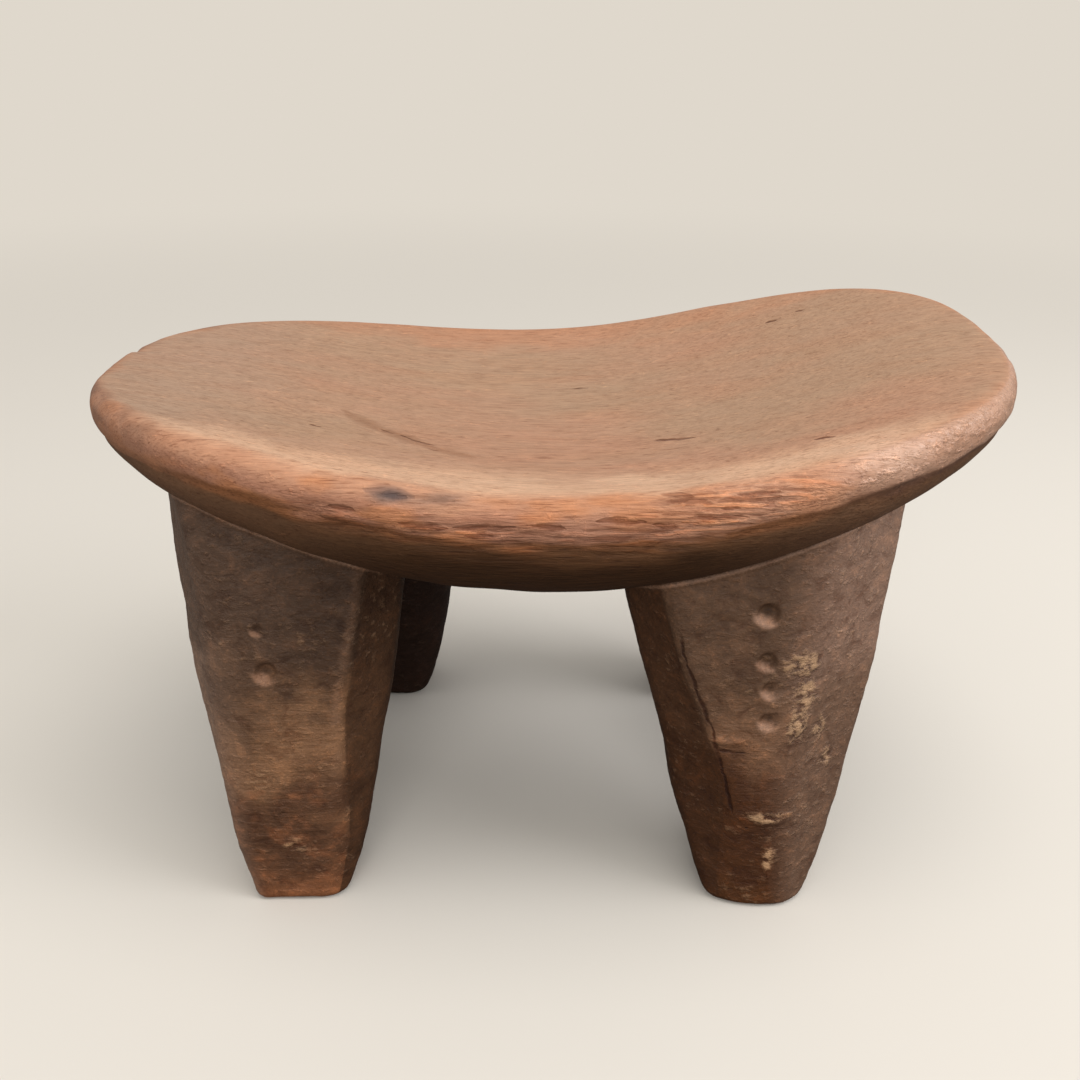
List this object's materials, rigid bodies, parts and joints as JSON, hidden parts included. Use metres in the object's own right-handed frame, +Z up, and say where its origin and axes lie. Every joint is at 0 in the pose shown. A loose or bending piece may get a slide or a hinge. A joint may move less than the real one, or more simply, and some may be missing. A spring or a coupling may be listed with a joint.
{
  "type": "carved wooden headrest stool",
  "caption": "Low hand-carved wooden headrest stool with a dished saddle seat on thick faceted tapering legs.",
  "frame": {"origin": "on the floor under the middle of the seat", "axes": "+X along the seat towards its higher end, +Y to the back, +Z up"},
  "size_m": [0.383, 0.2281, 0.2317],
  "materials": {
    "seat_wood": "hand-worn, dusty top, burnished rim",
    "leg_wood": "tool-faceted, dark patina, rubbed lighter at the feet"
  },
  "bodies": {
    "root": {"seat": "seat_wood", "front_left_leg": "leg_wood", "front_right_leg": "leg_wood", "rear_left_leg": "leg_wood", "rear_right_leg": "leg_wood"}
  },
  "joints": []
}
